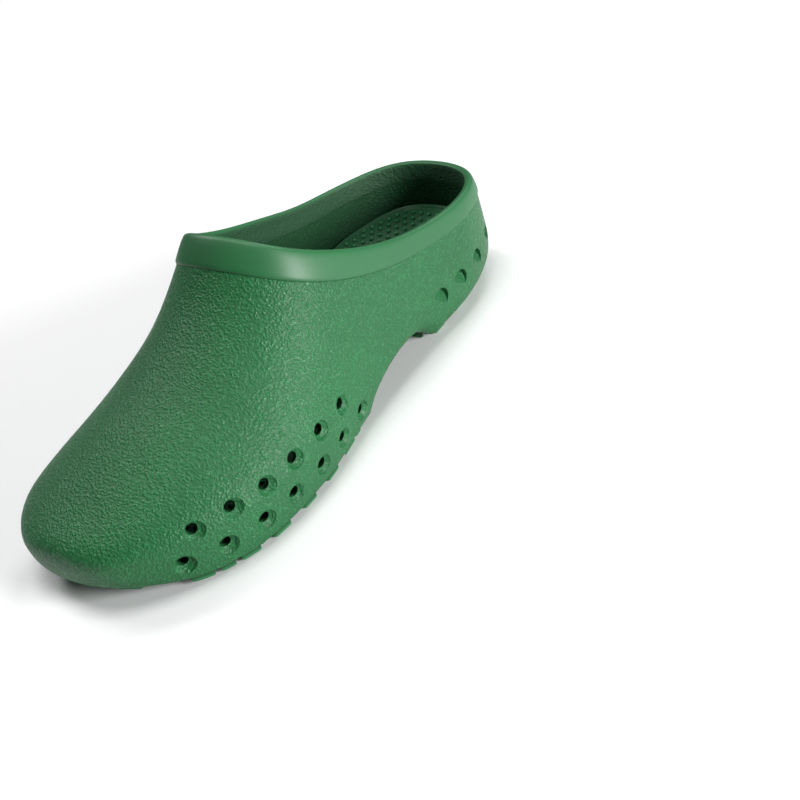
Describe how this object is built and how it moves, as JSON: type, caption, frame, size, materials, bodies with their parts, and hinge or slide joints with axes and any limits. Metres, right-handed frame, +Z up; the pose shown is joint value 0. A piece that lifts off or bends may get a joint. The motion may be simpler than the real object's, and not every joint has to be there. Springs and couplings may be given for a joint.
{
  "type": "garden clog",
  "caption": "Slip-on moulded garden clog for the left foot: vented closed-toe upper, rolled collar, open heel, lift-out footbed and lugged sole.",
  "frame": {"origin": "middle of the clog's footprint, on the floor it stands on", "axes": "+X along the foot towards the toe, +Y towards the outer side of the left foot, +Z up"},
  "size_m": [0.265, 0.1084, 0.0977],
  "materials": {
    "grained_upper": "fine pebbled grain, satin",
    "smooth_collar": "smooth, semi-gloss",
    "sole_body": "smooth, satin",
    "footbed_foam": "smooth foam skin with massage nubs, matt",
    "tread_rubber": "bevelled lugs, satin tops and matt grooves"
  },
  "bodies": {
    "clog": {"upper_shell": "grained_upper", "collar_band": "smooth_collar", "midsole": "sole_body", "forefoot_tread": "tread_rubber", "heel_tread": "tread_rubber"},
    "insole": {"footbed": "footbed_foam"}
  },
  "joints": [
    {"name": "footbed_lift", "type": "hinge", "parent": "clog", "child": "insole", "pos_m": [0.1255, 0, 0.0136], "axis": [0, 1, 0], "range_deg": [0, 8]}
  ]
}
